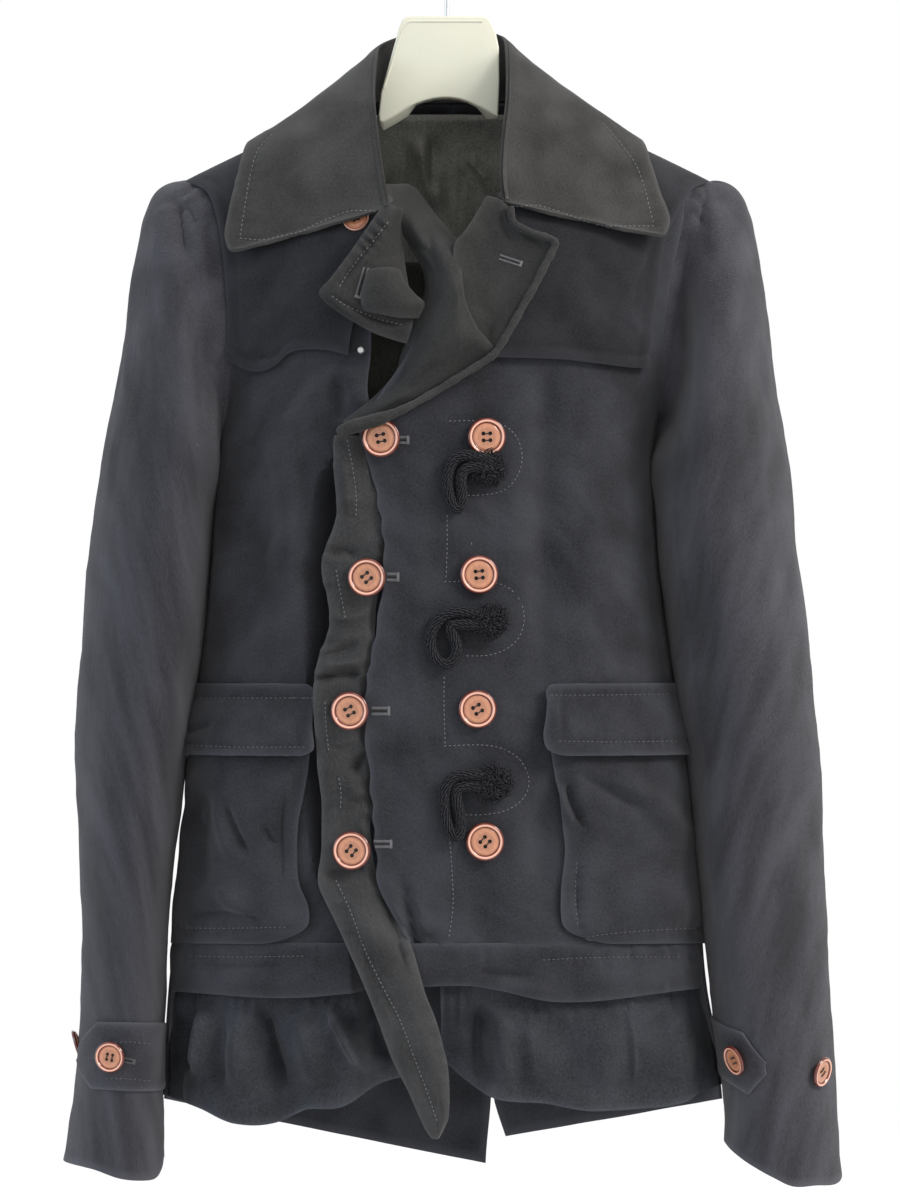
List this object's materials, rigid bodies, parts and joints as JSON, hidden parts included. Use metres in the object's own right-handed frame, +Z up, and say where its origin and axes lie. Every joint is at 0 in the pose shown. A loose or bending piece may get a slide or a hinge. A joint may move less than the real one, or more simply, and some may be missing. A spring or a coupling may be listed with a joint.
{
  "type": "duffle coat on a hanger",
  "caption": "Short double-breasted wool coat with wide collar, rope loops, patch pockets and a ruffled hem, hanging open-necked on a plain hanger.",
  "frame": {"origin": "inside top of the hanger's hook, where it hangs on a rod", "axes": "+Z up; +X towards the wearer's left, the right of the picture; the front faces -Y"},
  "size_m": [0.5361, 0.1899, 0.877],
  "materials": {
    "wool": "matte navy-black wool twill with a faint nap",
    "collar_wool": "matte charcoal-black wool",
    "peplum_cloth": "thin matte blue-black cloth",
    "facing": "smooth warm-black cotton satin",
    "lining": "dark olive satin",
    "rope": "black twisted cord",
    "button": "polished reddish brown with a darker rim",
    "hanger_plastic": "off-white moulded plastic, bare",
    "steel": "plain wire"
  },
  "bodies": {
    "root": {"front_left": "wool", "front_right": "wool", "back_left": "wool", "back_right": "wool", "yoke_front_left": "wool", "yoke_front_right": "wool", "yoke_back": "wool", "hem_band_left": "wool", "hem_band_right": "wool", "pocket_left": "wool", "pocket_right": "wool", "flap_left": "wool", "flap_right": "wool", "sleeve_left_front": "wool", "sleeve_left_back": "wool", "sleeve_right_front": "wool", "sleeve_right_back": "wool", "cuff_tab_left": "wool", "cuff_tab_right": "wool", "peplum_left": "peplum_cloth", "peplum_right": "peplum_cloth", "collar": "collar_wool", "lapel_left": "facing", "lapel_right": "facing", "throat_tab": "facing", "edge_strip": "facing", "lining_back": "lining", "loop_1": "rope", "loop_2": "rope", "loop_3": "rope", "button_1_left": "button", "button_2_left": "button", "button_3_left": "button", "button_4_left": "button", "button_1_right": "button", "button_2_right": "button", "button_3_right": "button", "button_4_right": "button", "button_collar": "button", "cuff_button_left_1": "button", "cuff_button_left_2": "button", "cuff_button_right_1": "button", "cuff_button_right_2": "button", "snap": "steel", "hanger_plate": "hanger_plastic", "hanger_arm_left": "hanger_plastic", "hanger_arm_right": "hanger_plastic", "hanger_hook": "steel"}
  },
  "joints": []
}
